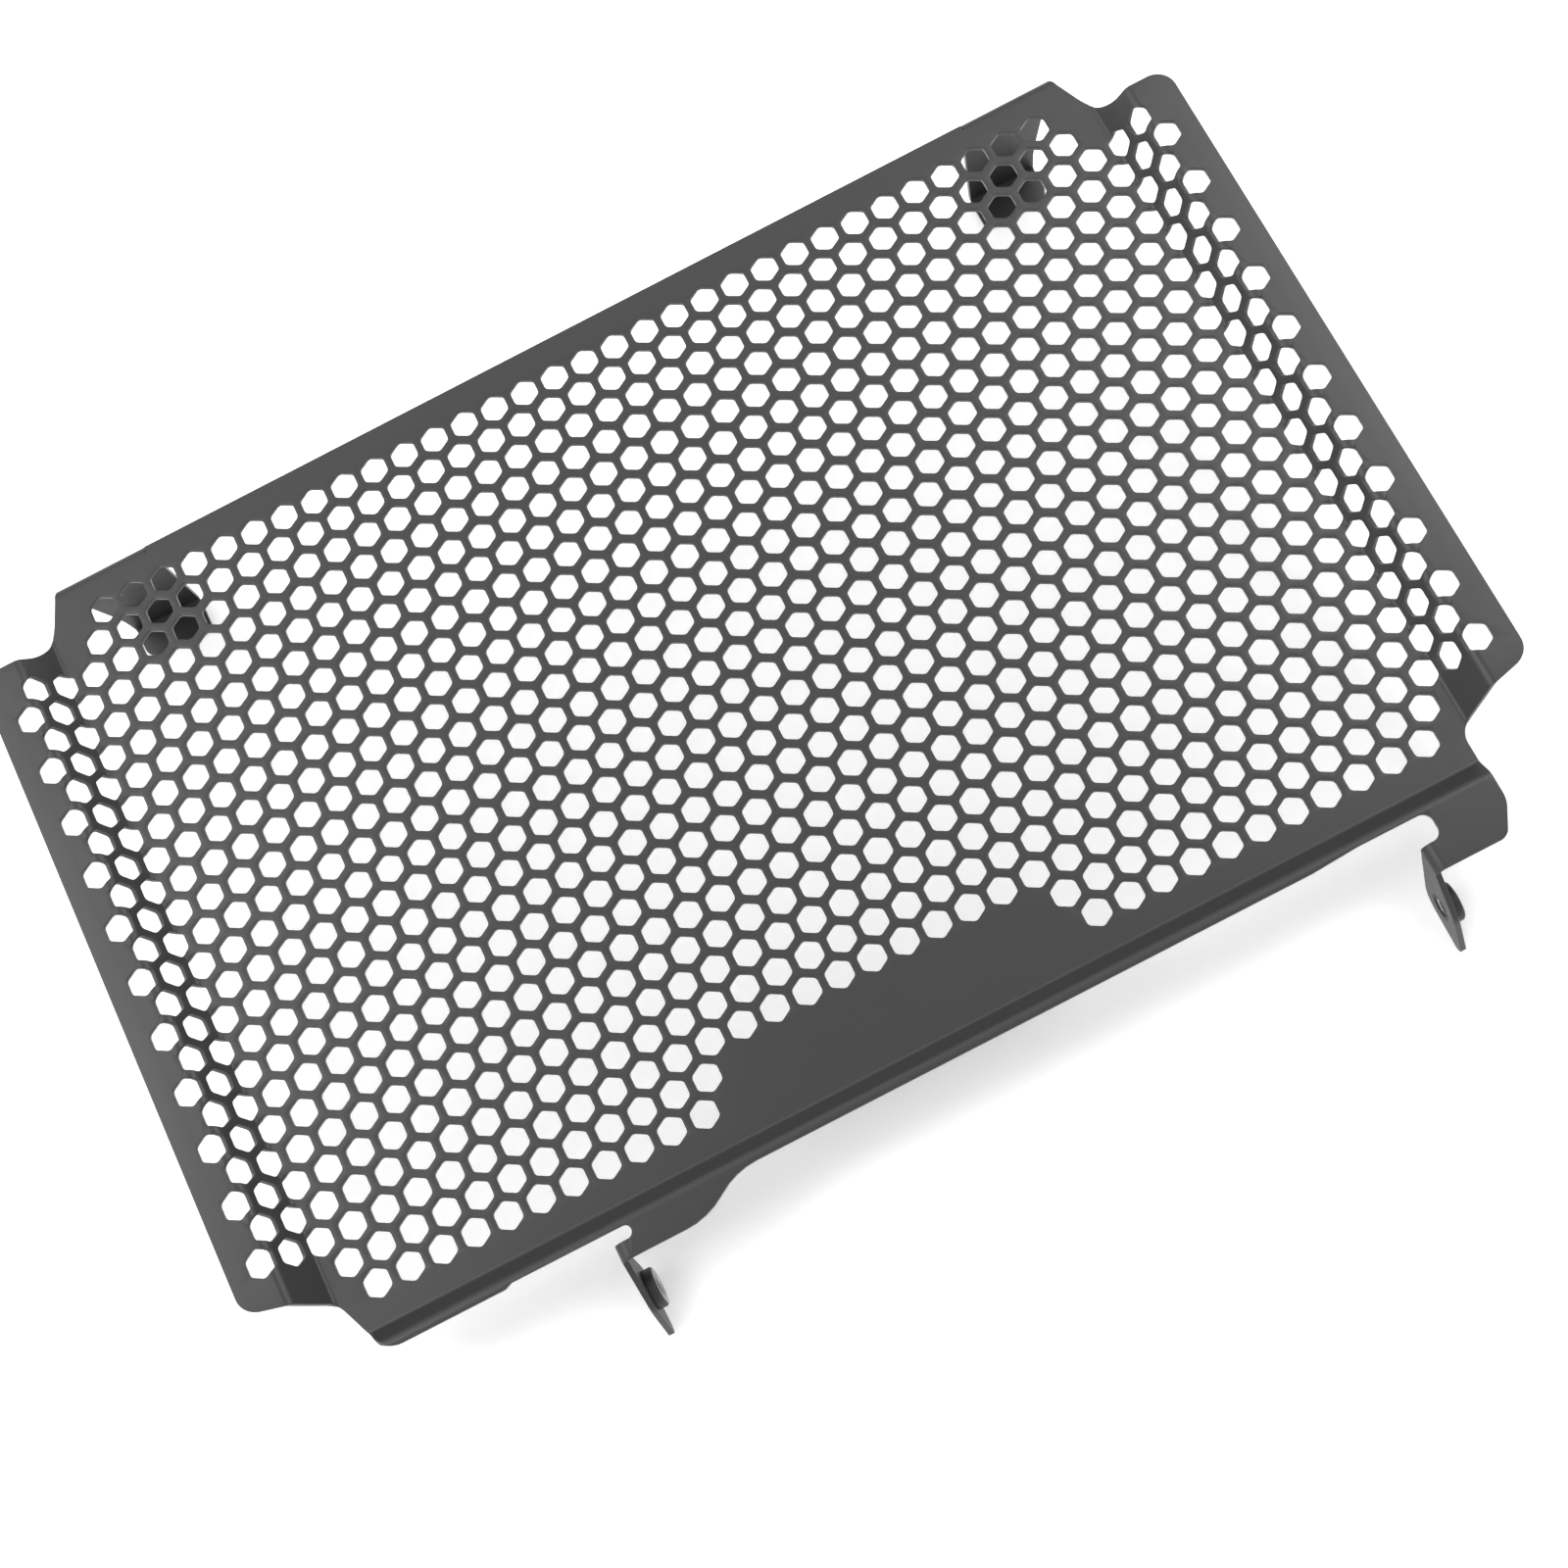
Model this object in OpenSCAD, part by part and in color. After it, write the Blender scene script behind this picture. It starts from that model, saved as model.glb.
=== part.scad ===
// Motorcycle radiator guard: one laser-cut, hex-perforated sheet folded into a shallow pan,
// with two hooks over the radiator's top, a stepped lower lip with two tabs,
// and a folded ear with a clinch nut on each tab.

/* [Sheet] */
// Thickness of the sheet
sheet_t = 1.5; // [1:0.1:2.5]
// Inside radius of every fold
fold_r = 1.5; // [1:0.1:2.5]

/* [Main panel] */
// Width of the panel between its two wing folds
panel_w = 311.8; // [300:0.2:324]
// Top edge above the middle row of holes
panel_up = 105.4; // [102:0.2:112]
// Fold of the lower lip below the middle row of holes
panel_down = 111.8; // [109:0.2:120]
// Width of the straight top edge
top_edge_w = 298.4; // [290:0.2:304]
// Inward lean of the slanted corner edges, in degrees from upright
corner_lean = 23; // [18:1:28]
// Side edge below the right wing, measured right from the middle
side_right_x = 153.2; // [150:0.2:155]
// Left end of the lip's lower edge before its corner is rounded
lip_left_x = 148.2; // [144:0.2:150]

/* [Wings] */
// Height of each wing's flange above the panel
wing_rise = 10; // [7:0.5:14]
// Sideways run of the sloping web; three quarters of the rise, so that its folds meet exactly
wing_run = 7.5; // [5:0.1:9]
// Width of the flange beyond its fold
flange_w = 11.45; // [9:0.05:16]
// Top edge of the wing above the middle row of holes
wing_up = 87.1; // [85:0.1:92]
// Outer lower corner of the wing below the middle row of holes
wing_down = 95.1; // [93:0.1:98]
// Slope of the wing's lower edge, in degrees
wing_low_slope = 14.5; // [8:0.5:18]
// Radius of the wing's outer corners
wing_corner_r = 5.5; // [3:0.5:8]
// Radius of the hollow where the wing meets the slanted corner edge
wing_hollow_r = 14; // [8:0.5:16]
// Radius of the hollow under each wing
low_hollow_r = 5.5; // [3:0.5:8]

/* [Perforation] */
// Distance between the centres of neighbouring holes
hole_pitch = 9; // [8.5:0.1:12]
// Width of a hexagonal hole across its flats
hole_af = 6.9; // [5:0.1:7.5]
// Outermost hole centres to the edge of the flange, along the sheet
field_side = 8.8; // [8:0.1:20]
// Outermost hole centres of the rows above the wings, in from the top corner
field_top_in = 4.2; // [2:0.1:20]
// Outermost hole centres of the rows below the wings, in from the wing fold
field_low_in = 7.2; // [6.8:0.1:20]
// Highest row of holes, below the top edge
field_up_in = 11; // [9:0.5:20]
// Lowest row of holes, above the lower lip's fold
field_down_in = 9; // [8:0.5:20]
// Width of the plain plate at the middle of the lowest rows
plain_w = 94; // [60:1:140]
// Height of the plain plate above the lower lip's fold
plain_h = 22; // [16:0.5:30]

/* [Lower lip] */
// Step of the lip towards the front
lip_rise = 4; // [2.5:0.1:6]
// Run of the step along the panel
lip_run = 4.2; // [3.4:0.1:6]
// Flat of the lip beyond its second fold
lip_flat = 1.8; // [1.6:0.1:4]
// Amount cut back from the lip beside each ear
lip_relief = 0.8; // [0.3:0.1:1]
// Radius of the lip's left corner
lip_corner_r = 7.5; // [4:0.5:10]

/* [Tabs] */
// Outer face of the left ear, measured left from the middle
ear_left_x = 87.4; // [70:0.1:100]
// Outer face of the right ear, measured right from the middle
ear_right_x = 129.6; // [118:0.1:133]
// Depth of the left tab below the lip
tab_left_h = 7.1; // [6:0.1:12]
// Depth of the right tab below the lip
tab_right_h = 13.6; // [12:0.1:18]
// Height of the slot between the lip and the left ear
slot_left_h = 3.4; // [2:0.1:4]
// Height of the slot between the lip and the right ear
slot_right_h = 7.2; // [4:0.1:8]
// Length of each slot, from the ear's outer face
slot_reach = 5.8; // [5:0.1:7]
// Straight lower edge of the left tab, from the ear's outer face
tab_left_w = 17.7; // [14:0.1:26]
// Length of the sweeping edge from the left tab back to the lip
tab_sweep = 22.7; // [18:0.1:30]
// Radius of the right tab's outer corner
tab_corner_r = 9; // [5:0.5:11]

/* [Ears] */
// Left nut centre below its ear's top edge
nut_drop_left = 11.4; // [10:0.1:16]
// Right nut centre below its ear's top edge
nut_drop_right = 12.8; // [11:0.1:18]
// Nut centres behind the middle of the panel
nut_back = 12.3; // [9:0.1:16]
// Radius of the ear round its nut
ear_r = 7.2; // [6.2:0.1:9]
// Ear tip centre below the nut
tip_drop = 9.3; // [8:0.1:14]
// Ear tip centre behind the nut
tip_back = 6; // [3:0.1:8]
// Radius of the ear's tip
tip_r = 2; // [1.5:0.1:4]

/* [Clinch nuts] */
// Diameter of the nut's head
nut_d = 10.5; // [9.5:0.1:12]
// Height of the nut's head
nut_h = 2.6; // [2:0.1:5]
// Diameter of the shank pressed into the ear
shank_d = 7.4; // [6.8:0.1:8.6]
// Diameter of the threaded bore
thread_d = 5; // [4.2:0.1:5.8]
// Chamfer of the nut's head
nut_chamfer = 0.5; // [0.2:0.1:0.8]

/* [Top hooks] */
// Clear depth from the middle of the panel to the inside of the hook's lip
hook_depth = 41.8; // [30:0.2:50]
// Inner side of each hook, measured from the middle
hook_inner_x = 123; // [110:0.2:126]
// Width of the hook's lip
hook_lip_w = 20; // [14:0.2:22]
// Bottom of the hook's lip below the top edge
hook_lip_h = 10.9; // [8:0.1:18]
// Radius of the lip's outer corner
hook_corner_r = 3.5; // [2:0.1:5]
// Radius blending the hook's flared side into its straight part
flare_r = 60; // [30:5:70]

/* [Hidden] */
$fn = 64;

sheet_color = [0.17, 0.17, 0.18];
nut_color = [0.72, 0.72, 0.70];

// In every fold the middle of the sheet follows an arc of this radius
mid_r = fold_r + sheet_t / 2;
out_r = fold_r + sheet_t;
slab = 8;
wide = 500;

// Wing folds: where the flats would meet, and how far each fold eats into them
wing_angle = atan2(wing_rise, wing_run);
wing_slope = norm([wing_rise, wing_run]);
wing_back = mid_r * tan(wing_angle / 2);
fold_x = panel_w / 2;
flat_x = fold_x - wing_back;
half_w = fold_x + wing_run + flange_w;
half_s = fold_x + wing_slope + flange_w;
part_s = hole_pitch * round(fold_x / 3 / hole_pitch);
// A turn far below any real size. It keeps the panel's parts as separate faces of one solid,
// because a face with hundreds of holes is slow to check.
hair = 0.00000001;

// Lower lip: one fold forwards and one back
lip_angle = atan2(lip_rise, lip_run);
lip_slope = norm([lip_rise, lip_run]);
lip_back = mid_r * tan(lip_angle / 2);
flat_y = panel_down - lip_back;
lip_y = panel_down + lip_run + lip_flat;
relief_y = lip_y - lip_relief;

// Rows of holes
row_h = hole_pitch * sqrt(3) / 2;
row_top = floor((panel_up - field_up_in) / row_h);
row_low = -floor((panel_down - field_down_in) / row_h);

// Corners of the blank; lengths along the wings are those of the flat sheet
lean = tan(corner_lean);
low_slope = tan(wing_low_slope);
top_x = top_edge_w / 2;
top_fold_x = top_x + out_r * lean;
hollow_x = top_x + (panel_up - wing_up) * lean;
low_right_y = wing_down + (half_s - side_right_x) * low_slope;
low_left_s = (lip_left_x + lean * (lip_y - wing_down - half_s * low_slope)) / (1 - lean * low_slope);
low_left_y = wing_down + (half_s - low_left_s) * low_slope;
slant_left_x = lip_left_x + (lip_y - flat_y) * lean;
slant_up_x = slant_left_x + lean;

// Tabs and ears
tab_left_y = lip_y + tab_left_h;
tab_right_y = lip_y + tab_right_h;
ear_left_y = relief_y + slot_left_h;
ear_right_y = relief_y + slot_right_h;
sweep_r = (tab_sweep * tab_sweep + tab_left_h * tab_left_h) / (4 * tab_left_h) * 0.99;
sweep_t = sweep_r * tan(atan2(tab_left_h, tab_sweep));

// Top hooks
hook_x = hook_inner_x + hook_lip_w;
hook_low_y = panel_up - hook_lip_h;
hook_z = -hook_depth - sheet_t / 2;
flare_end = 0.75 * hook_depth;

// The guard lies on its back, on the hooks' lips and the tip of the right ear
tip_y = -(ear_right_y + nut_drop_right + tip_drop);
tip_z = -(nut_back + tip_back);
rest_run = hook_low_y - tip_y;
rest_drop = tip_z - hook_z + sheet_t / 2;
rest_tilt = atan2(rest_drop, rest_run) - asin(tip_r / norm([rest_run, rest_drop]));
rest_z = -hook_low_y * sin(rest_tilt) - (hook_z - sheet_t / 2) * cos(rest_tilt);
top_most = (panel_up - out_r) * cos(rest_tilt) - (hook_z + mid_r) * sin(rest_tilt) + out_r;
low_most = tip_y * cos(rest_tilt) - tip_z * sin(rest_tilt) - tip_r;
rest_y = -(top_most + low_most) / 2;

module at_rest() {
    translate([0, rest_y, rest_z]) rotate([rest_tilt, 0, 0]) children();
}

// Points on an arc about c, from angle a0 to angle a1
function arc(c, r, a0, a1, n = 8) = [for (i = [0 : n]) let (a = a0 + (a1 - a0) * i / n) c + r * [cos(a), sin(a)]];

function unit(v) = v / norm(v);

// One corner of an outline, rounded to radius r between its neighbours p and q
function corner(p, v, q, r) =
    let (
        d0 = unit(p - v),
        d1 = unit(q - v),
        half = acos(d0 * d1) / 2,
        c = v + unit(d0 + d1) * r / sin(half),
        t0 = v + d0 * r / tan(half) - c,
        t1 = v + d1 * r / tan(half) - c,
        a0 = atan2(t0[1], t0[0]),
        turn = atan2(t0[0] * t1[1] - t0[1] * t1[0], t0 * t1)
    )
    arc(c, r, a0, a0 + turn);

// An outline from points [x, y] or [x, y, corner radius]
function rounded(pts) = [
    for (i = [0 : len(pts) - 1])
        let (
            n = len(pts),
            p = pts[(i + n - 1) % n],
            v = pts[i],
            q = pts[(i + 1) % n]
        )
        each v[2] == undef
            ? [[v[0], v[1]]]
            : corner([p[0], p[1]], [v[0], v[1]], [q[0], q[1]], v[2])
];

// The blank above the lower lip, as the flat sheet it is cut from
module blank() {
    polygon(rounded([
        [side_right_x, -flat_y],
        [side_right_x, -low_right_y, low_hollow_r],
        [half_s, -wing_down, wing_corner_r],
        [half_s, wing_up, wing_corner_r],
        [hollow_x, wing_up, wing_hollow_r],
        [top_fold_x, panel_up - out_r],
        [hook_inner_x, panel_up - out_r],
        [hook_inner_x, panel_up],
        [-hook_inner_x, panel_up],
        [-hook_inner_x, panel_up - out_r],
        [-top_fold_x, panel_up - out_r],
        [-hollow_x, wing_up, wing_hollow_r],
        [-half_s, wing_up, wing_corner_r],
        [-half_s, -wing_down, wing_corner_r],
        [-low_left_s, -low_left_y, low_hollow_r],
        [-slant_left_x, -flat_y]
    ]));
}

// One hexagonal hole, with flats facing along the rows
module hex_hole() {
    rotate(30) circle(d = hole_af / cos(30), $fn = 6);
}

// How far the holes reach from the middle in the row at height y
function row_reach(y) = y > wing_up - 0.9 * hole_pitch ? top_x - field_top_in
    : y < -wing_down + 0.9 * hole_pitch ? fold_x - field_low_in
    : half_s - field_side;

function is_hole(x, y) = abs(x) <= row_reach(y) && (y > plain_h - panel_down || abs(x) > plain_w / 2);

// Holes with centres from s0 to s1 along the flat sheet
module hole_field(s0, s1) {
    for (j = [row_low : row_top]) {
        y = j * row_h;
        shift = j % 2 == 0 ? hole_pitch / 2 : 0;
        for (i = [ceil((s0 - shift) / hole_pitch) : floor((s1 - shift) / hole_pitch)]) {
            x = i * hole_pitch + shift;
            if (is_hole(x, y)) translate([x, y]) hex_hole();
        }
    }
}

// The perforated sheet from s0 to s1 along the blank
module strip(s0, s1) {
    difference() {
        intersection() {
            blank();
            polygon([[s0, -wide], [s1, -wide], [s1, wide], [s0, wide]]);
        }
        hole_field(s0 - hole_af * 0.6, s1 + hole_af * 0.6);
    }
}

// Section of a fold that starts at the origin along +X and turns up by angle a
module fold_section(a) {
    far = 2 * out_r;
    translate([0, mid_r]) intersection() {
        difference() {
            circle(r = out_r);
            circle(r = fold_r);
        }
        polygon([[0, 0], [0, -far], [far * tan(a / 2), -far], far * [sin(a), -cos(a)]]);
    }
}

// A flat of the sheet from s0 to s1, carrying half of a fold at each end.
// up0 and up1 are 1 for a fold towards the front, -1 for one towards the back, 0 for none.
module flat(s0, s1, up0, up1) {
    a = s0 + abs(up0) * wing_back;
    b = s1 - abs(up1) * wing_back;
    translate([0, 0, -sheet_t / 2]) linear_extrude(sheet_t) strip(a, b);
    if (up0 != 0) half_fold(a, -1, up0) strip(s0 - 1, a);
    if (up1 != 0) half_fold(b, 1, up1) strip(b, s1 + 1);
}

// Half of a wing fold, starting at s and running towards dir, cut through by the 2-D child
module half_fold(s, dir, up) {
    intersection() {
        translate([s, wide / 2, 0]) scale([dir, 1, up]) rotate([90, 0, 0])
            linear_extrude(wide) fold_section(wing_angle / 2);
        translate([0, 0, -slab / 2]) linear_extrude(slab) children();
    }
}

// Each wing is two flats, a slope and a flange, with half of a fold at each meeting edge
module wing_right() {
    translate([fold_x, 0, 0]) rotate([0, -wing_angle, 0]) rotate([hair, 0, 0]) translate([-fold_x, 0, 0])
        flat(fold_x, fold_x + wing_slope, 1, -1);
    translate([wing_run - wing_slope, 0, wing_rise])
        flat(fold_x + wing_slope, half_s, -1, 0);
}

module wing_left() {
    translate([-fold_x, 0, 0]) rotate([0, wing_angle, 0]) rotate([hair, 0, 0]) translate([fold_x, 0, 0])
        flat(-fold_x - wing_slope, -fold_x, -1, 1);
    translate([wing_slope - wing_run, 0, wing_rise])
        flat(-half_s, -fold_x - wing_slope, 0, -1);
}

// Outline of the lower lip with its tabs and slots
module lip_outline() {
    slot_l = slot_reach - ear_left_x;
    slot_r = slot_reach + ear_right_x;
    end_l = min(slot_left_h * 0.49, slot_reach - out_r - 0.1);
    end_r = min(slot_right_h * 0.49, slot_reach - out_r - 0.1);
    root_l = out_r - ear_left_x;
    root_r = out_r + ear_right_x;
    polygon(rounded([
        [-slant_up_x, 1 - flat_y],
        [-lip_left_x, -lip_y, lip_corner_r],
        [-ear_left_x - 28, -lip_y],
        [-ear_left_x - 26, -relief_y],
        [slot_l, -relief_y, end_l],
        [slot_l, -ear_left_y, end_l],
        [root_l, -ear_left_y],
        [root_l, -tab_left_y],
        [tab_left_w - ear_left_x + sweep_t, -tab_left_y, sweep_r],
        [tab_left_w - ear_left_x + tab_sweep - sweep_t, -lip_y, sweep_r],
        [ear_right_x - 26, -lip_y],
        [ear_right_x - 13, -relief_y],
        [slot_r, -relief_y, end_r],
        [slot_r, -ear_right_y, end_r],
        [root_r, -ear_right_y],
        [root_r, -tab_right_y],
        [side_right_x, -tab_right_y, tab_corner_r],
        [side_right_x, 1 - flat_y]
    ]));
}

// Centre line of a folded strip: each step is a flat and the turn after it, in degrees.
// Every point carries the direction of the sheet there.
function bent(steps, i = 0, at = [0, 0], dir = 0) =
    let (
        flat_end = at + steps[i][0] * [cos(dir), sin(dir)],
        turn = steps[i][1],
        side = sign(turn),
        c = flat_end + side * mid_r * [-sin(dir), cos(dir)],
        n = max(1, ceil(abs(turn) / 11)),
        curve = [for (k = [1 : n]) let (d = dir + turn * k / n) [c + side * mid_r * [sin(d), -cos(d)], d]]
    )
    concat(
        i == 0 ? [[at, dir]] : [],
        [[flat_end, dir]],
        turn == 0 ? [] : curve,
        i == len(steps) - 1 ? [] : bent(steps, i + 1, turn == 0 ? flat_end : curve[n - 1][0], dir + turn)
    );

// Section of a folded strip, from its centre line
module section(steps) {
    line = bent(steps);
    n = len(line);
    front = [for (p = line) p[0] + sheet_t / 2 * [-sin(p[1]), cos(p[1])]];
    back = [for (i = [0 : n - 1]) let (p = line[n - 1 - i]) p[0] - sheet_t / 2 * [-sin(p[1]), cos(p[1])]];
    polygon(concat(front, back));
}

module lower_lip() {
    intersection() {
        translate([wide / 2, -flat_y, 0]) rotate([90, 0, -90]) linear_extrude(wide)
            section([[0, lip_angle], [lip_slope - 2 * lip_back, -lip_angle], [60, 0]]);
        translate([0, 0, -slab]) linear_extrude(3 * slab) lip_outline();
    }
}

// Direction from both centres to where a line touches two circles, on the side given by dir
function touch(c0, r0, c1, r1, dir) =
    let (d = c1 - c0)
    atan2(d[1], d[0]) + dir * acos((r0 - r1) / norm(d));

// Side view of an ear: x is the distance behind the panel, y the height
module ear_outline(top, low, drop) {
    root = mid_r - lip_rise;
    nut = [nut_back, -top - drop];
    tip = nut + [tip_back, -tip_drop];
    a_top = touch([root, -top], 0, nut, ear_r, 1);
    a_out = touch(nut, ear_r, tip, tip_r, 1);
    a_in = touch(nut, ear_r, tip, tip_r, -1);
    a_low = touch([root, -low], 0, nut, ear_r, -1);
    polygon(concat(
        [[root, -low], [root, -top]],
        arc(nut, ear_r, a_top, a_out),
        arc(tip, tip_r, a_out, a_in, 6),
        arc(nut, ear_r, a_in, a_low)
    ));
}

// An ear with the fold that joins it to its tab; x is the ear's outer face
module ear(x, top, low, drop) {
    translate([x + out_r, -top, lip_rise]) rotate([90, 0, 0]) linear_extrude(low - top)
        scale([-1, -1]) fold_section(90);
    translate([x, 0, 0]) rotate([0, 90, 0]) linear_extrude(sheet_t) difference() {
        ear_outline(top, low, drop);
        translate([nut_back, -top - drop]) circle(d = shank_d);
    }
}

// Plan of a hook: x from the middle, y the distance behind the panel
module hook_plan() {
    flare_a = atan2(top_x - hook_x, flare_end);
    flare_t = flare_r * tan(flare_a / 2);
    polygon(rounded([
        [hook_inner_x, -sheet_t],
        [top_fold_x, -sheet_t],
        [top_fold_x, -sheet_t / 2],
        [top_x, mid_r],
        [hook_x, flare_end + mid_r, flare_r],
        [hook_x, hook_depth + slab],
        [hook_inner_x, hook_depth + slab]
    ]));
}

// Front view of a hook: its root fold, web and lip
module hook_front() {
    polygon(rounded([
        [hook_inner_x, panel_up + 1],
        [hook_inner_x, hook_low_y, 1.2],
        [hook_x, hook_low_y, hook_corner_r],
        [hook_x, panel_up - out_r - 1],
        [top_fold_x + 1, panel_up - out_r - 1],
        [top_fold_x + 1, panel_up + 1]
    ]));
}

module hook() {
    intersection() {
        translate([wide / 2, panel_up - out_r, 0]) rotate([0, 0, 90]) rotate([-90, 0, 0])
            linear_extrude(wide) section([[0, 90], [-hook_z - 2 * mid_r, 90], [hook_lip_h - out_r + 5, 0]]);
        translate([0, wide / 2, 0]) rotate([90, 0, 0]) linear_extrude(wide)
            scale([1, -1]) hook_plan();
        translate([0, 0, -wide / 2]) linear_extrude(wide) hook_front();
    }
}

// Seams between the panel's parts, which keep clear of the tips and sides of the holes
function seam(i) = hole_pitch / 4 + i * part_s;

// The panel is made in six parts, which join into one sheet
module guard_sheet() {
    color(sheet_color) at_rest() {
        flat(-fold_x, seam(-2), 1, 0);
        rotate([0, hair, 0]) flat(seam(-2), seam(-1), 0, 0);
        flat(seam(-1), seam(0), 0, 0);
        rotate([0, hair, 0]) flat(seam(0), seam(1), 0, 0);
        flat(seam(1), seam(2), 0, 0);
        rotate([0, hair, 0]) flat(seam(2), fold_x, 0, 1);
        wing_right();
        wing_left();
        lower_lip();
        ear(-ear_left_x, ear_left_y, tab_left_y, nut_drop_left);
        ear(ear_right_x, ear_right_y, tab_right_y, nut_drop_right);
        hook();
        mirror([1, 0, 0]) hook();
    }
}

// Round nut with a chamfered head and a shank that fills the ear's hole
module clinch_nut(x, top, drop) {
    color(nut_color) at_rest() translate([x, -top - drop, -nut_back]) rotate([0, 90, 0]) difference() {
        union() {
            cylinder(d = shank_d, h = sheet_t);
            translate([0, 0, sheet_t]) cylinder(d = nut_d, h = nut_h - nut_chamfer);
            translate([0, 0, sheet_t + nut_h - nut_chamfer])
                cylinder(d1 = nut_d, d2 = nut_d - 2 * nut_chamfer, h = nut_chamfer);
        }
        translate([0, 0, -1]) cylinder(d = thread_d, h = sheet_t + nut_h + 2);
    }
}

module clinch_nut_left() {
    clinch_nut(-ear_left_x, ear_left_y, nut_drop_left);
}

module clinch_nut_right() {
    clinch_nut(ear_right_x, ear_right_y, nut_drop_right);
}

guard_sheet();
clinch_nut_left();
clinch_nut_right();
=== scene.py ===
# %% [markdown]
# # A motorcycle radiator guard
# The guard is one sheet of steel: laser-cut with hundreds of hexagonal holes, folded, and
# powder-coated satin black. Two round nuts are pressed into ears that fold back under it.
# The scene is made the way a workshop would make the part: draw the flat blank, punch it,
# bend it, coat it. Every size below is in millimetres until the last step turns it to metres.

# %% Load the frame
import math

import bmesh
import bpy
import numpy as np
from mathutils import Matrix, Vector


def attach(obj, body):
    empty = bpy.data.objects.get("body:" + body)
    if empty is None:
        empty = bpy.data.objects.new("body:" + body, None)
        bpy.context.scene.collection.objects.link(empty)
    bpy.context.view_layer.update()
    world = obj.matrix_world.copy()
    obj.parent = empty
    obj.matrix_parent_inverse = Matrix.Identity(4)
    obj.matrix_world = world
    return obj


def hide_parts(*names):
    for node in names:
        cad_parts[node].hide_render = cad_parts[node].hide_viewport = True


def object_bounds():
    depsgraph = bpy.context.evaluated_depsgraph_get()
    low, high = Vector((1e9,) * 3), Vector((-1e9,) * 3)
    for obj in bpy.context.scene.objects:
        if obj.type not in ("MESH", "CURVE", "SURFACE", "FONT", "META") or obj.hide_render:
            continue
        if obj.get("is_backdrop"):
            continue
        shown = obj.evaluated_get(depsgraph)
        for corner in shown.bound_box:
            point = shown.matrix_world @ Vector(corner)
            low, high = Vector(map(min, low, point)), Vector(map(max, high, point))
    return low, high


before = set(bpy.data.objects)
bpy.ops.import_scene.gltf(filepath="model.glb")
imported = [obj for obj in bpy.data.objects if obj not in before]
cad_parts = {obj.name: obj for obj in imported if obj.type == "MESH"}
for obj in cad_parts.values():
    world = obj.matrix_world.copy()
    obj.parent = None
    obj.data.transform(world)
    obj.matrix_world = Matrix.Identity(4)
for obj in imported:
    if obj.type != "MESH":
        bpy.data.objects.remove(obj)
cad_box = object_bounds()
MM = 0.001
print("CAD box", cad_box)

# %% [markdown]
# ## Sizes of the blank
# These are the sizes of the guard's source, all but the small radius at the tips of the holes,
# which belongs to the looks alone. The fold lines are where two flats would meet if the sheet
# had no thickness. Each fold eats a little into both of its flats.

# %% Sizes
sheet = 1.5
inside_r = 1.5
mid_r = inside_r + sheet / 2
out_r = inside_r + sheet

panel_w = 311.8
panel_up = 105.4
panel_down = 111.8
top_x = 149.2
lean = math.tan(math.radians(23))
side_right_x = 153.2
lip_left_x = 148.2

wing_rise = 10
wing_run = 7.5
flange_w = 11.45
wing_up = 87.1
wing_down = 95.1
wing_low_slope = math.tan(math.radians(14.5))
fold_x = panel_w / 2
wing_angle = math.atan2(wing_rise, wing_run)
wing_slope = math.hypot(wing_rise, wing_run)
wing_back = mid_r * math.tan(wing_angle / 2)
half_s = fold_x + wing_slope + flange_w
corner_r = 5.5
hollow_r = 14
lip_corner_r = 7.5

pitch = 9.0
hole_w = 6.9
tip_fillet = 1.2
wing_ends_in = 0.9 * pitch
field_side = 8.8
field_top_in = 4.2
field_low_in = 7.2
plain_half = 47
plain_top = 22 - panel_down

lip_rise = 4
lip_run = 4.2
lip_angle = math.atan2(lip_rise, lip_run)
lip_back = mid_r * math.tan(lip_angle / 2)
lip_y = panel_down + lip_run + 1.8
relief_y = lip_y - 0.8
flat_y = panel_down - lip_back
relief_left_in, relief_right_in = 28, 26
relief_step_left, relief_step_right = 2, 13

ear_left_x = -87.4
ear_right_x = 129.6
ear_left_y = relief_y + 3.4
slot_left_r = 1.67
ear_right_y = relief_y + 7.2
tab_left_drop = 7.1
tab_left_y = lip_y + tab_left_drop
tab_right_y = lip_y + 13.6
slot_reach = 5.8
nut_back = 12.3
nut_left_y = ear_left_y + 11.4
nut_right_y = ear_right_y + 12.8
ear_r = 7.2
tip_drop = 9.3
tip_back = 6
tip_r = 2
shank_d = 7.4

hook_depth = 41.8
hook_in = 123
hook_out = 143
hook_z = -hook_depth - sheet / 2
hook_low_y = panel_up - 10.9
hook_side_r, hook_out_r, hook_in_r = 60, 3.5, 1.2
straight_share = 0.75
web_run = -hook_z - 2 * mid_r
quarter = mid_r * math.pi / 2
print("blank is", round(2 * half_s, 1), "mm wide")
print("wings rise at", round(math.degrees(wing_angle), 1), "degrees")

# %% [markdown]
# ## How the guard lies
# Lying on its back, the guard touches the floor with the lower edges of its two hook lips and
# the tip of its right ear. That fixes one tilt and one height, worked out here as in the source.

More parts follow.
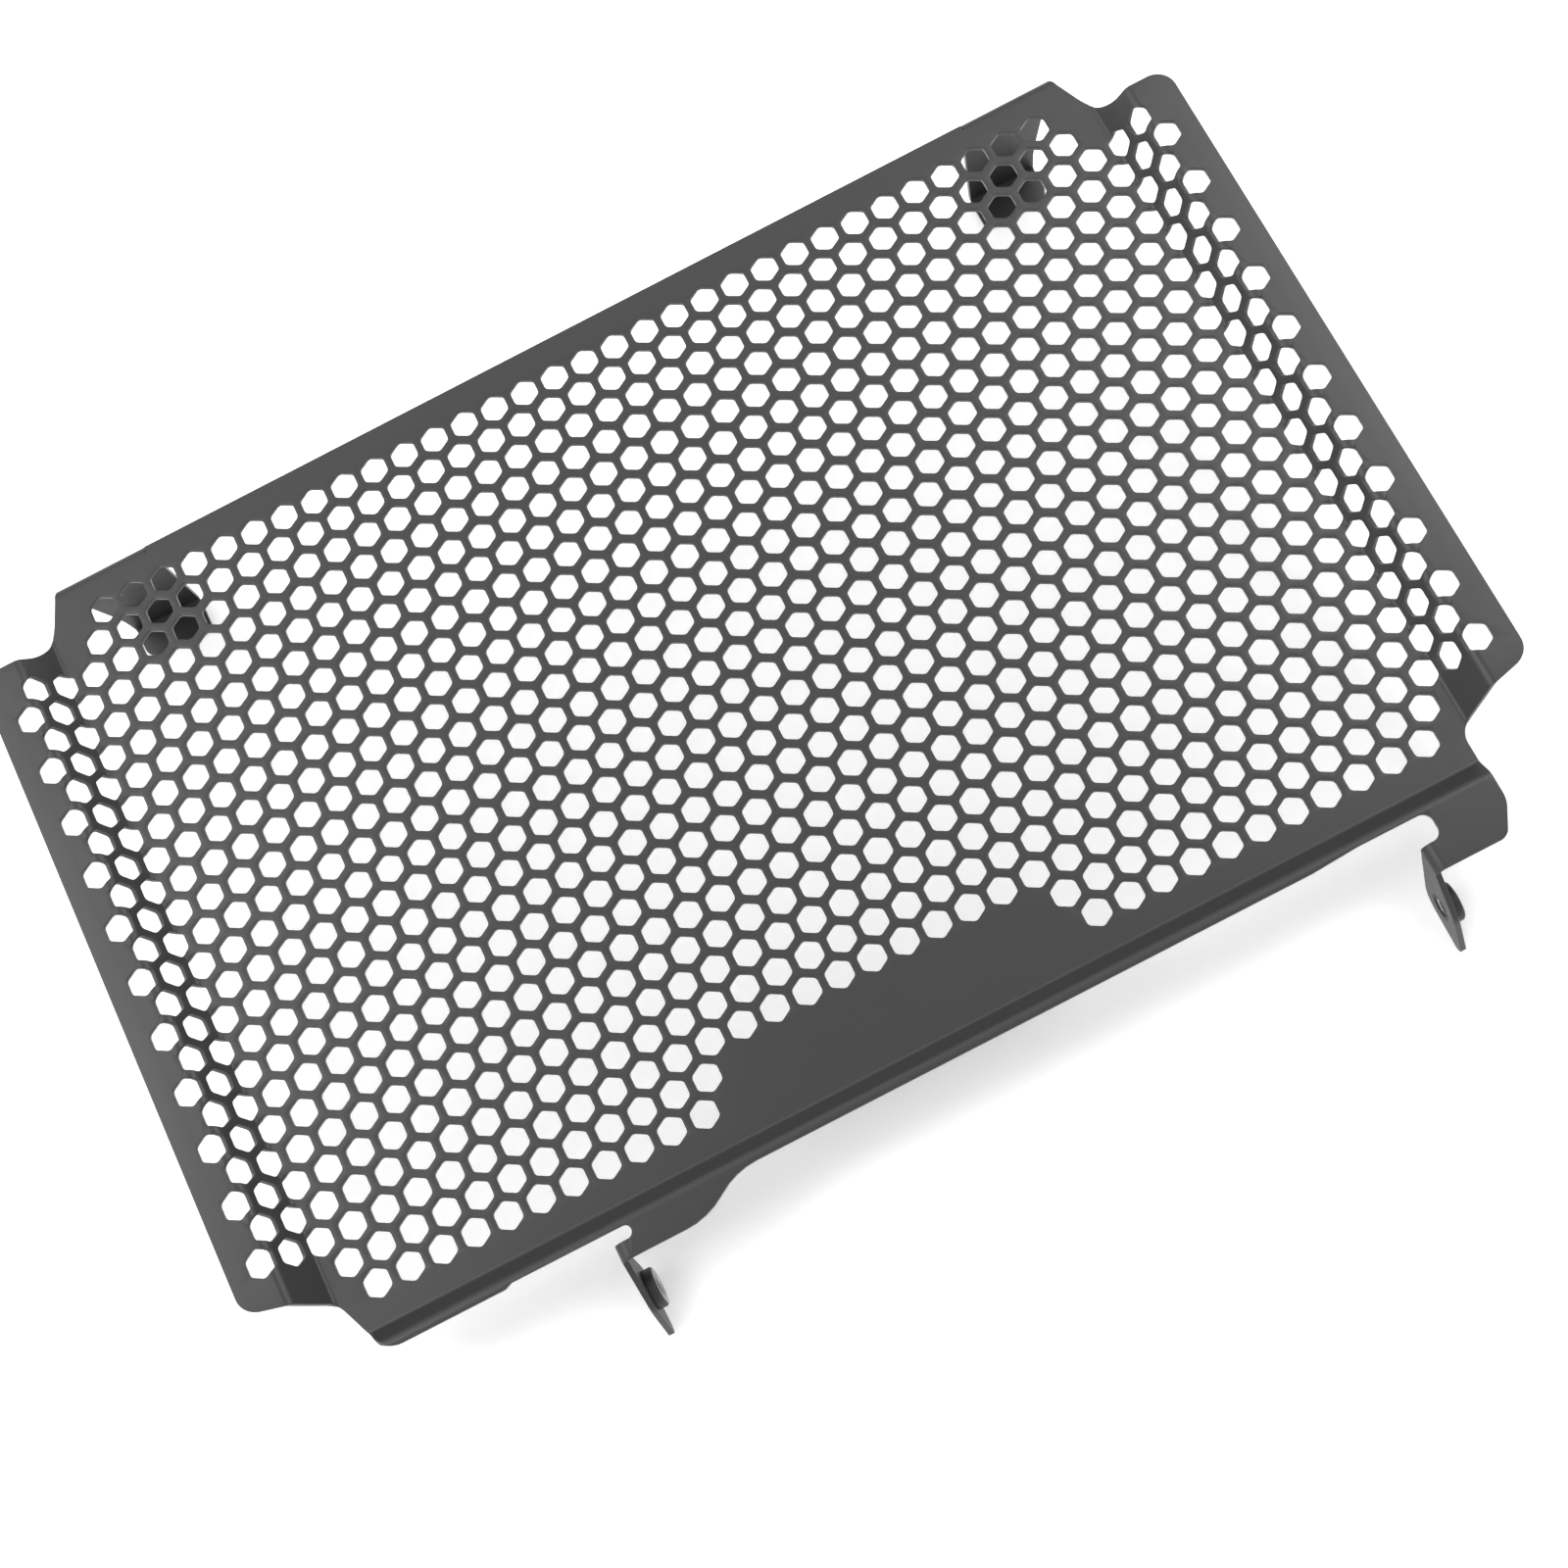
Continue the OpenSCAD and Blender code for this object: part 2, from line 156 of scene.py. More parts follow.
# %% Rest pose
tip_at = (-(nut_right_y + tip_drop), -(nut_back + tip_back))
rest_run = hook_low_y - tip_at[0]
rest_drop = tip_at[1] - hook_z + sheet / 2
rest_tilt = math.atan2(rest_drop, rest_run) - math.asin(tip_r / math.hypot(rest_run, rest_drop))
rest_z = -hook_low_y * math.sin(rest_tilt) - (hook_z - sheet / 2) * math.cos(rest_tilt)
top_most = (panel_up - out_r) * math.cos(rest_tilt) - (hook_z + mid_r) * math.sin(rest_tilt) + out_r
low_most = tip_at[0] * math.cos(rest_tilt) - tip_at[1] * math.sin(rest_tilt) - tip_r
rest = Matrix.Translation((0, -(top_most + low_most) / 2, rest_z)) @ Matrix.Rotation(rest_tilt, 4, "X")
to_scene = Matrix.Scale(MM, 4) @ rest
print("tilt", round(math.degrees(rest_tilt), 3), "degrees")

# %% [markdown]
# ## Outlines with round corners
# A laser-cut outline is a few straight edges with rounded corners. Blender's Bevel could round
# them later, but it would round each corner alike. This helper takes each corner's own radius.

# %% Rounded outline
def rounded(points, step=math.radians(9)):
    """Turns (x, y) or (x, y, radius) corners into an outline."""
    out = []
    for i, v in enumerate(points):
        if len(v) == 2:
            out.append(Vector(v))
            continue
        p, c, q = Vector(points[i - 1][:2]), Vector(v[:2]), Vector(points[(i + 1) % len(points)][:2])
        d0, d1 = (p - c).normalized(), (q - c).normalized()
        half = math.acos(max(-1, min(1, d0.dot(d1)))) / 2
        centre = c + (d0 + d1).normalized() * v[2] / math.sin(half)
        a = c + d0 * v[2] / math.tan(half) - centre
        b = c + d1 * v[2] / math.tan(half) - centre
        turn = math.atan2(a.x * b.y - a.y * b.x, a.dot(b))
        n = max(2, math.ceil(abs(turn) / step))
        out += [centre + Matrix.Rotation(turn * k / n, 2) @ a for k in range(n + 1)]
    return out


def arc(centre, r, a0, a1, n=10):
    return [Vector((centre[0] + r * math.cos(a0 + (a1 - a0) * k / n),
                    centre[1] + r * math.sin(a0 + (a1 - a0) * k / n))) for k in range(n + 1)]


def touch(c0, r0, c1, r1, side):
    """Angle at which a line touches two circles."""
    d = Vector(c1) - Vector(c0)
    return math.atan2(d.y, d.x) + side * math.acos((r0 - r1) / d.length)

# %% [markdown]
# ## The blank
# On the real guard everything but the nuts is one blank: panel, wings, stepped lip, tabs, the
# two ears and the two hooks. It is drawn flat here, as the laser would cut it. The ears lie to
# the left of their tabs and the hooks stand above the top edge until they are folded. A narrow
# slit frees each hook's inner side, so that its fold can turn. Between the hooks the edge is a
# little lower, so that it runs on from the round backs of the folds, as in the photo. The left
# tab runs back to the lip in two long arcs, and the right tab's outer corner is cut on a slant.

# %% Outline of the blank
def ear_shape(top, low, nut_y, root_x):
    """Outline of an ear laid flat, from the top of its root to the bottom of its root."""
    def flat(p):
        return (root_x - quarter - (p[0] - (mid_r - lip_rise)), p[1])
    root = mid_r - lip_rise
    nut, tip = (nut_back, -nut_y), (nut_back + tip_back, -nut_y - tip_drop)
    a_top = touch((root, -top), 0, nut, ear_r, 1)
    a_out = touch(nut, ear_r, tip, tip_r, 1)
    a_in = touch(nut, ear_r, tip, tip_r, -1)
    a_low = touch((root, -low), 0, nut, ear_r, -1)
    side = arc(nut, ear_r, a_top, a_out) + arc(tip, tip_r, a_out, a_in, 8) + arc(nut, ear_r, a_in, a_low)
    return [(root_x, -top), (root_x - quarter, -top)] + [flat(p) for p in side] + [
        (root_x - quarter, -low), (root_x, -low)]


low_right_y = wing_down + (half_s - side_right_x) * wing_low_slope
corner_drop = lip_y - wing_down - half_s * wing_low_slope
low_left_s = (lip_left_x + lean * corner_drop) / (1 - lean * wing_low_slope)
low_left_y = wing_down + (half_s - low_left_s) * wing_low_slope
hollow_x = top_x + (panel_up - wing_up) * lean
fold_corner_x = top_x + out_r * lean
fold_y = panel_up - out_r
flare_end = quarter + straight_share * hook_depth
hook_end = 2 * quarter + web_run + (fold_y - hook_low_y)
slit = 0.15
edge_drop = 1.0
tab_left_x = ear_left_x + 17.7
sweep, sweep_ease = 22.7, 0.99
sweep_r = (sweep ** 2 + tab_left_drop ** 2) / (4 * tab_left_drop) * sweep_ease
sweep_t = sweep_r * tab_left_drop / sweep
cut_in, cut_up, cut_low_r, cut_high_r = 4.4, 8.1, 3.2, 8
slot_right_r = slot_reach - out_r - 0.1
root_l = ear_left_x + out_r
root_r = ear_right_x + out_r

hook_right = [
    (fold_corner_x, fold_y), (top_x, fold_y + quarter), (hook_out, fold_y + flare_end, hook_side_r),
    (hook_out, fold_y + hook_end, hook_out_r), (hook_in, fold_y + hook_end, hook_in_r),
    (hook_in, fold_y), (hook_in - slit, fold_y), (hook_in - slit, panel_up - edge_drop)]
hook_left = [(-p[0],) + tuple(p[1:]) for p in reversed(hook_right)]

blank = rounded(
    [(side_right_x, -low_right_y, corner_r), (half_s, -wing_down, corner_r),
     (half_s, wing_up, corner_r), (hollow_x, wing_up, hollow_r)]
    + hook_right + hook_left
    + [(-hollow_x, wing_up, hollow_r), (-half_s, wing_up, corner_r), (-half_s, -wing_down, corner_r),
       (-low_left_s, -low_left_y, corner_r), (-lip_left_x, -lip_y, lip_corner_r),
       (ear_left_x - relief_left_in, -lip_y),
       (ear_left_x - relief_left_in + relief_step_left, -relief_y),
       (ear_left_x + slot_reach, -relief_y, slot_left_r),
       (ear_left_x + slot_reach, -ear_left_y, slot_left_r)]
    + ear_shape(ear_left_y, tab_left_y, nut_left_y, root_l)
    + [(tab_left_x + sweep_t, -tab_left_y, sweep_r), (tab_left_x + sweep - sweep_t, -lip_y, sweep_r),
       (ear_right_x - relief_right_in, -lip_y),
       (ear_right_x - relief_right_in + relief_step_right, -relief_y),
       (ear_right_x + slot_reach, -relief_y, slot_right_r),
       (ear_right_x + slot_reach, -ear_right_y, slot_right_r)]
    + ear_shape(ear_right_y, tab_right_y, nut_right_y, root_r)
    + [(side_right_x - cut_in, -tab_right_y, cut_low_r),
       (side_right_x, cut_up - tab_right_y, cut_high_r)])
nut_x_flat = [r - quarter - (nut_back - (mid_r - lip_rise)) for r in (root_l, root_r)]
print("outline has", len(blank), "points")

# %% Outline as a curve
def closed_curve(name, loops):
    data = bpy.data.curves.new(name, "CURVE")
    data.dimensions = "2D"
    data.fill_mode = "NONE"
    for loop in loops:
        spline = data.splines.new("POLY")
        spline.points.add(len(loop) - 1)
        for point, at in zip(spline.points, loop):
            point.co = (at[0], at[1], 0, 1)
        spline.use_cyclic_u = True
    obj = bpy.data.objects.new(name, data)
    bpy.context.scene.collection.objects.link(obj)
    return obj


HOLE_SIDES = 48
play = 0.02
last = 2 * math.pi * (HOLE_SIDES - 1) / HOLE_SIDES
holes_for_nuts = [arc((x, -y), shank_d / 2 + play, 0, last, HOLE_SIDES - 1)
                  for x, y in zip(nut_x_flat, (nut_left_y, nut_right_y))]
outline = closed_curve("blank_outline", [blank] + holes_for_nuts)
print("curve with", len(outline.data.splines), "closed loops")

# %% [markdown]
# ## A small way to write node trees
# Node trees are long to write by hand. One class wraps a socket, so that sums and comparisons
# read as they do on paper, and one method adds any other node. It serves both the Geometry
# Nodes tree that punches the holes and the shaders of the finishes.

# %% Node helper
class Wire:
    """A socket that can be used in sums. Each sum adds a Math node to the same tree."""
    def __init__(self, tree, socket):
        self.tree, self.socket = tree, socket

    def math(self, operation, *others):
        return self.tree.add("ShaderNodeMath", {"operation": operation}, [self, *others])

    def __add__(self, o): return self.math("ADD", o)
    def __radd__(self, o): return self.math("ADD", o)
    def __sub__(self, o): return self.math("SUBTRACT", o)
    def __rsub__(self, o): return self.tree.add("ShaderNodeMath", {"operation": "SUBTRACT"}, [o, self])
    def __mul__(self, o): return self.math("MULTIPLY", o)
    def __truediv__(self, o): return self.math("DIVIDE", o)
    def __gt__(self, o): return self.math("GREATER_THAN", o)
    def __lt__(self, o): return self.math("LESS_THAN", o)


class Tree:
    """Adds nodes to a node tree and links them."""
    def __init__(self, nodes_of):
        self.nodes, self.links = nodes_of.nodes, nodes_of.links

    def add(self, kind, settings=None, sockets=None, out=0):
        node = self.nodes.new(kind)
        for name, value in (settings or {}).items():
            if name == "stops":
                ramp = node.color_ramp
                while len(ramp.elements) < len(value):
                    ramp.elements.new(0.5)
                for element, (at, colour) in zip(ramp.elements, value):
                    element.position, element.color = at, colour
            else:
                setattr(node, name, value)
        items = sockets.items() if isinstance(sockets, dict) else enumerate(sockets or [])
        for key, value in items:
            if isinstance(value, Wire):
                self.links.new(value.socket, node.inputs[key])
            else:
                node.inputs[key].default_value = value
        return Wire(self, node.outputs[out]) if len(node.outputs) else node

# %% [markdown]
# ## Punching and thickness with Geometry Nodes
# The holes follow a rule: rows of hexagons, every other row shifted by half a pitch. Drawing
# 958 of them by hand is out of the question, and an Array would also fill the places that stay
# plain. So a Geometry Nodes tree lays out a lattice of points, drops those outside the field,
# puts a small round-cornered hexagon on each, fills between them and the outline, and gives
# the fill its thickness. Its inputs are the sizes a maker would give.

# %% Tree that punches the blank
field = bpy.data.node_groups.new("punched_blank", "GeometryNodeTree")
face = field.interface
face.new_socket("Outline", in_out="INPUT", socket_type="NodeSocketGeometry")
SIZES = {
    "Pitch": pitch, "Hole width": hole_w, "Tip radius": tip_fillet, "Thickness": sheet,
    "Columns": 41, "Rows": 26, "Lowest row": -13,
    "Reach": half_s - field_side,
    "Reach above wings": top_x - field_top_in, "Reach below wings": fold_x - field_low_in,
    "Wing top": wing_up - wing_ends_in, "Wing bottom": -wing_down + wing_ends_in,
    "Plain half width": plain_half, "Plain top": plain_top,
}
for name, value in SIZES.items():
    socket = face.new_socket(name, in_out="INPUT", socket_type="NodeSocketFloat")
    socket.default_value = value
face.new_socket("Material", in_out="INPUT", socket_type="NodeSocketMaterial")
face.new_socket("Sheet", in_out="OUTPUT", socket_type="NodeSocketGeometry")

g = Tree(field)
source = field.nodes.new("NodeGroupInput")
size = {name: Wire(g, source.outputs[name]) for name in SIZES}
index = g.add("GeometryNodeInputIndex")
row_no = (index / size["Columns"]).math("FLOOR")
column_no = index - row_no * size["Columns"]
row = row_no + size["Lowest row"]
odd = row.math("MODULO", 2).math("ABSOLUTE")
row_step = size["Pitch"] * (math.sqrt(3) / 2)
x = (column_no - (size["Columns"] - 1) / 2 + 0.5 - odd * 0.5) * size["Pitch"]
y = row * row_step
above, below = y > size["Wing top"], y < size["Wing bottom"]
reach = (size["Reach"] + above * (size["Reach above wings"] - size["Reach"])
         + below * (size["Reach below wings"] - size["Reach"]))
plain = (y < size["Plain top"]) * (x.math("ABSOLUTE") < size["Plain half width"])
outside = (x.math("ABSOLUTE") > reach).math("MAXIMUM", plain)

place = g.add("ShaderNodeCombineXYZ", None, {"X": x, "Y": y})
lattice = g.add("GeometryNodePoints", None, {"Count": size["Columns"] * size["Rows"], "Position": place})
kept = g.add("GeometryNodeDeleteGeometry", {"domain": "POINT"}, {"Geometry": lattice, "Selection": outside})
hexagon = g.add("GeometryNodeCurvePrimitiveCircle", None, {
    "Resolution": 6, "Radius": size["Hole width"] / math.sqrt(3)})
tip = g.add("GeometryNodeFilletCurve", {"mode": "POLY"}, {
    "Curve": hexagon, "Count": 2, "Radius": size["Tip radius"]})
punched = g.add("GeometryNodeInstanceOnPoints", None, {
    "Points": kept, "Instance": tip, "Rotation": (0, 0, math.radians(30))})
holes = g.add("GeometryNodeRealizeInstances", None, {"Geometry": punched})
joined = g.add("GeometryNodeJoinGeometry")
for item in (holes.socket, source.outputs["Outline"]):
    field.links.new(item, joined.socket.node.inputs[0])
filled = g.add("GeometryNodeFillCurve", None, {"Curve": joined})
half_thick = g.add("ShaderNodeCombineXYZ", None, {"Z": size["Thickness"] * -0.5})
back = g.add("GeometryNodeTransform", None, {"Geometry": filled, "Translation": half_thick})
front = g.add("GeometryNodeExtrudeMesh", {"mode": "FACES"}, {
    "Mesh": back, "Offset": (0, 0, 1), "Offset Scale": size["Thickness"], "Individual": False})
turned = g.add("GeometryNodeFlipFaces", None, {"Mesh": back})
shell = g.add("GeometryNodeJoinGeometry")
for item in (front, turned):
    field.links.new(item.socket, shell.socket.node.inputs[0])
weld_mm = 0.002
welded = g.add("GeometryNodeMergeByDistance", None, {"Geometry": shell, "Distance": weld_mm})
solid = g.add("GeometryNodeRealizeInstances", None, {"Geometry": welded})
coated = g.add("GeometryNodeSetMaterial", None, {"Geometry": solid})
field.links.new(source.outputs["Material"], coated.socket.node.inputs["Material"])
sink = field.nodes.new("NodeGroupOutput")
field.links.new(coated.socket, sink.inputs["Sheet"])
print("tree has", len(field.nodes), "nodes")

# %% [markdown]
# ## From tree to plain mesh
# The modifier's inputs are set by their identifiers. A narrow Bevel after the tree stands for
# the coat that runs round every cut edge: it is what catches the light on the rims of the
# holes. The result is turned into a plain mesh, which the folding then works on.

# %% Punched sheet
powder = bpy.data.materials.new("powder_coat")
steel = bpy.data.materials.new("nut_steel")

maker = outline.modifiers.new("punch", "NODES")
maker.node_group = field
for socket in face.items_tree:
    if socket.in_out == "INPUT" and socket.name in SIZES:
        maker[socket.identifier] = float(SIZES[socket.name])
    if socket.name == "Material":
        maker[socket.identifier] = powder


def plain_mesh(obj):
    """The evaluated mesh of an object, with nothing live on it."""
    bpy.context.view_layer.update()
    return bpy.data.meshes.new_from_object(obj.evaluated_get(bpy.context.evaluated_depsgraph_get()))


punched_mesh = plain_mesh(outline)
bpy.data.objects.remove(outline)
flat_sheet = bpy.data.objects.new("flat_sheet", punched_mesh)
bpy.context.scene.collection.objects.link(flat_sheet)
print("punched sheet has", len(punched_mesh.polygons), "faces")

# %% Rounded rims
rim = flat_sheet.modifiers.new("rim", "BEVEL")
rim_mm = 0.13
rim.width, rim.segments, rim.limit_method = rim_mm, 1, "ANGLE"
rim.angle_limit = math.radians(45)
rim.use_clamp_overlap = False
sheet_mesh = plain_mesh(flat_sheet)
bpy.data.objects.remove(flat_sheet)
print("with rims", len(sheet_mesh.polygons), "faces")

# %% [markdown]
# ## Folding
# A press brake folds a sheet along straight lines. Here a fold is a list of steps along the
# sheet: how much of the blank a step takes, how long it really is, and how far it turns. The
# mesh first gets cuts across each bend, so that it has points to bend at. Then one formula
# carries every point along its steps, at its own depth in the sheet. A Simple Deform modifier
# bends whole objects, so it can't do four folds at once. Left of an ear's root and below its
# top, the blank belongs to that ear, and only that part turns with it.

# %% The steps of each fold
right_angle = math.pi / 2
to_the_end = 60
lip_slope = math.hypot(lip_rise, lip_run) - 2 * lip_back
WING = [(2 * wing_back, mid_r * wing_angle, wing_angle), (wing_slope - 2 * wing_back,) * 2 + (0,),
        (2 * wing_back, mid_r * wing_angle, -wing_angle), (flange_w, flange_w, 0)]
STEP = [(mid_r * math.sin(lip_angle), mid_r * lip_angle, lip_angle),
        (lip_slope * math.cos(lip_angle), lip_slope, 0),
        (mid_r * math.sin(lip_angle), mid_r * lip_angle, -lip_angle), (to_the_end, to_the_end, 0)]
HOOK = [(quarter, quarter, -right_angle), (web_run, web_run, 0),
        (quarter, quarter, -right_angle), (to_the_end, to_the_end, 0)]
EAR = [(quarter, quarter, -right_angle), (to_the_end, to_the_end, 0)]


def follow(steps, d, t):
    """Carries points at distance d along a strip and height t above its middle round its folds."""
    u, w = d.copy(), t.copy()
    at, heading, start = np.zeros(2), 0.0, 0.0
    for span, length, turn in steps:
        part = (d - start) / span
        if turn:
            r = length / turn
            middle = at + r * np.array([-math.sin(heading), math.cos(heading)])
            a = heading + turn * part
            new_u, new_w = middle[0] + (r - t) * np.sin(a), middle[1] - (r - t) * np.cos(a)
            heading += turn
            at = middle + r * np.array([math.sin(heading), -math.cos(heading)])
        else:
            ahead = np.array([math.cos(heading), math.sin(heading)])
            new_u = at[0] + part * length * ahead[0] - t * ahead[1]
            new_w = at[1] + part * length * ahead[1] + t * ahead[0]
            at = at + length * ahead
        u, w = np.where(d >= start, new_u, u), np.where(d >= start, new_w, w)
        start += span
    return u, w


def bend_lines(steps, start, parts):
    """Where the cuts across the bends lie, as distances from the start."""
    lines = []
    for span, _, turn in steps:
        if turn:
            lines += [start + span * k / parts for k in range(parts + 1)]
        start += span
    return lines


print("30 mm along the wing's folds is at", follow(WING, np.array([30.0]), np.array([0.0])))

# %% Cuts across the bends
BEYOND = 200
wing_band = (-110, 90)
WING_CUTS, HOOK_CUTS, STEP_CUTS, EAR_CUTS = 6, 8, 5, 8
ears = ((root_l, 119), (root_r, 121))
ear_far = 45
bm = bmesh.new()
bm.from_mesh(sheet_mesh)


def cut(axis, lines, low, high):
    """Cuts the sheet at each line along an axis, within the box from low to high."""
    other = 1 - axis
    band = []
    for f in bm.faces:
        across = [v.co[axis] for v in f.verts]
        along = [v.co[other] for v in f.verts]
        if (max(across) > min(lines) - 0.01 and min(across) < max(lines) + 0.01
                and max(along) > low and min(along) < high):
            band.append(f)
    geom = list({v for f in band for v in f.verts}) + list({e for f in band for e in f.edges}) + band
    normal = Vector((1, 0, 0)) if axis == 0 else Vector((0, 1, 0))
    for line in lines:
        made = bmesh.ops.bisect_plane(bm, geom=geom, dist=0.0005, plane_co=normal * line, plane_no=normal)
        geom = made["geom"]


for side in (1, -1):
    cut(0, [side * line for line in bend_lines(WING, fold_x - wing_back, WING_CUTS)], *wing_band)
    cut(1, bend_lines(HOOK, fold_y, HOOK_CUTS), *sorted((side * (hook_in - slit / 2), side * BEYOND)))
cut(1, [-line for line in bend_lines(STEP, flat_y, STEP_CUTS)], -BEYOND, BEYOND)
for root, ear_top in ears:
    cut(0, [root - line for line in bend_lines(EAR, 0, EAR_CUTS)], -BEYOND, -ear_top)
bmesh.ops.triangulate(bm, faces=[f for f in bm.faces if len(f.verts) > 4])
print("after the cuts", len(bm.faces), "faces")

# %% Fold every point
def coordinates(mesh):
    at = np.empty(len(mesh.vertices) * 3)
    mesh.vertices.foreach_get("co", at)
    return at.reshape(-1, 3)


def fold(at):
    """Carries points of the flat blank, at their depth in the sheet, to the folded guard."""
    s, y, t = at.T
    x, z, out_y = s.copy(), t.copy(), y.copy()
    wing = np.abs(s) > fold_x - wing_back
    u, w = follow(WING, np.abs(s) - (fold_x - wing_back), t)
    x = np.where(wing, np.sign(s) * (fold_x - wing_back + u), x)
    z = np.where(wing, w, z)
    low = -y > flat_y
    u, w = follow(STEP, -y - flat_y, t)
    out_y, z = np.where(low, -(flat_y + u), out_y), np.where(low, w, z)
    hook = (np.abs(s) > hook_in - slit / 2) & (y > fold_y)
    u, w = follow(HOOK, y - fold_y, t)
    out_y, z = np.where(hook, fold_y + u, out_y), np.where(hook, w, z)
    for root, ear_top in ears:
        ear = (-y > ear_top) & (s < root) & (s > root - ear_far)
        u, w = follow(EAR, root - s, t)
        x, z = np.where(ear, root - u, x), np.where(ear, lip_rise + w, z)
    return np.column_stack([x, out_y, z])


sheet_mesh.clear_geometry()
bm.to_mesh(sheet_mesh)
bm.free()
flat_points = coordinates(sheet_mesh)
folded = fold(flat_points)
print("folded guard spans", folded.min(axis=0).round(2), "to", folded.max(axis=0).round(2))

# %% [markdown]
# ## The finished sheet
# The points go from millimetres to the frame's metres, and the guard tilts into the way it
# lies. A float on each point, `cut_edge`, marks the walls that the laser made: the coat is
# thinner there, and their lighter colour is also a painted highlight on the rims. Weighted
# normals keep the flats flat while the rims and folds shade round.

# %% Sheet in the frame
def in_frame(at):
    turn = np.array(to_scene.to_3x3())
    return at @ turn.T + np.array(to_scene.translation)


def mark(mesh, name, values):
    layer = mesh.attributes.new(name, "FLOAT", "POINT")
    layer.data.foreach_set("value", np.asarray(values, dtype=float))


def piece(name, mesh, node):
    """Shows a mesh in place of a CAD node, riding on the guard's one body."""
    obj = bpy.data.objects.new(name, mesh)
    bpy.context.scene.collection.objects.link(obj)
    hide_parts(node)
    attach(obj, "root")


# cut_edge picks out the cut walls, which get a lighter colour: partly thinner coat, partly a painted
# highlight on the rims.
mark(sheet_mesh, "cut_edge", np.abs(flat_points[:, 2]) < sheet / 2 - 0.05)
sheet_mesh.vertices.foreach_set("co", in_frame(folded).ravel())
sheet_mesh.polygons.foreach_set("use_smooth", [True] * len(sheet_mesh.polygons))
sheet_mesh.update()
guard = bpy.data.objects.new("shading_only", sheet_mesh)
bpy.context.scene.collection.objects.link(guard)
shade = guard.modifiers.new("shade", "WEIGHTED_NORMAL")
shade.weight, shade.keep_sharp = 80, False
shaded_mesh = plain_mesh(guard)
bpy.data.objects.remove(guard)
piece("folded_sheet", shaded_mesh, "guard_sheet")
print("sheet has", sum(len(p.vertices) - 2 for p in shaded_mesh.polygons), "triangles")

# %% [markdown]
# ## The clinch nuts
# A clinch nut is turned from bar, pressed into its hole until the shank fills it, and tapped.
# Its section is a handful of points on a lathe. The thread is a real helix: every point of the
# bore moves outwards by a triangle wave of its depth minus its share of a turn.

# %% Nut by revolution
nut_r = 5.25
nut_long = sheet + 2.6
bore_r = 2.5
thread_step = 1.0
thread_deep = 0.45
row_step_mm = 0.125
TURNS = 64


def nut_section():
    """Outer line of the nut from one mouth of the bore to the other, as (depth, radius)."""
    shank = shank_d / 2 - play
    return [(0.25, 2.72), (0.0, 3.0), (0.0, shank - 0.12), (0.06, shank), (sheet, shank),
            (sheet, nut_r - 0.12), (sheet + 0.1, nut_r), (nut_long - 0.52, nut_r),
            (nut_long - 0.45, nut_r - 0.04), (nut_long - 0.04, nut_r - 0.45),
            (nut_long, nut_r - 0.54), (nut_long, 3.15), (nut_long - 0.35, 2.76)]


def bore_rows():
    """Depths of the bore's rings, back to the first mouth; the thread gives each its radius."""
    return [(deep, None) for deep in np.arange(nut_long - 0.47, 0.36, -row_step_mm)]


def is_bare(deep, radius):
    """True on the end face and in the thread, which stay free of the coat."""
    return deep > nut_long - 0.02 or (radius < 2.8 and deep > 0.6)


def nut_mesh(name, centre):
    """centre is the middle of the nut's shank face, in mm; the nut points along +X."""
    bm = bmesh.new()
    rings, radius, bare = [], [], []
    for deep, r in nut_section() + bore_rows():
        ring = []
        for k in range(TURNS):
            wave = (deep / thread_step - k / TURNS) % 1.0
            here = r if r else bore_r + thread_deep * (1 - abs(2 * wave - 1))
            a = 2 * math.pi * k / TURNS
            at = (centre[0] + deep, centre[1] + here * math.cos(a), centre[2] + here * math.sin(a))
            ring.append(bm.verts.new(at))
            radius.append(here)
            bare.append(is_bare(deep, here))
        rings.append(ring)
    for one, two in zip(rings, rings[1:] + rings[:1]):
        for k in range(TURNS):
            j = (k + 1) % TURNS
            bm.faces.new((one[k], one[j], two[j], two[k]))
    bmesh.ops.recalc_face_normals(bm, faces=bm.faces)
    mesh = bpy.data.meshes.new(name)
    bm.to_mesh(mesh)
    print(name, "volume", round(bm.calc_volume(signed=True), 1), "mm3")
    bm.free()
    mark(mesh, "lathe_radius", radius)
    mark(mesh, "bare_metal", bare)
    mesh.vertices.foreach_set("co", in_frame(coordinates(mesh)).ravel())
    mesh.polygons.foreach_set("use_smooth", [True] * len(mesh.polygons))
    mesh.set_sharp_from_angle(angle=math.radians(35))
    mesh.materials.append(steel)
    mesh.update()
    return mesh


for side, x, y in (("left", ear_left_x, nut_left_y), ("right", ear_right_x, nut_right_y)):
    made = nut_mesh("turned_nut_" + side, (x, -y, -nut_back))
    piece("turned_nut_" + side, made, "clinch_nut_" + side)

# %% [markdown]
# ## Satin powder coat
# Powder melts into a skin with a faint orange peel: a soft waviness about a millimetre across
# and a finer grain. It isn't mirror smooth, so its roughness is about 0.4 and drifts a little
# over the sheet. On cut edges the skin is thin and glossier, and their greyer colour is partly
# that thin skin and partly a painted highlight on the rims.

# %% Powder coat
def material_tree(material):
    material.use_nodes = True
    material.node_tree.nodes.clear()
    return Tree(material.node_tree)


def finish_surface(tree, shader):
    tree.add("ShaderNodeOutputMaterial", None, {"Surface": shader})


def noise(tree, place, scale, detail=2.0):
    return tree.add("ShaderNodeTexNoise", None, {
        "Vector": place, "Scale": scale, "Detail": detail, "Roughness": 0.55})


def mixed(tree, factor, first, second):
    """One colour where the factor is 0 and the other where it is 1."""
    kind = {"data_type": "RGBA"}
    return tree.add("ShaderNodeMix", kind, {0: factor, 6: first, 7: second}, out=MIXED_COLOUR)


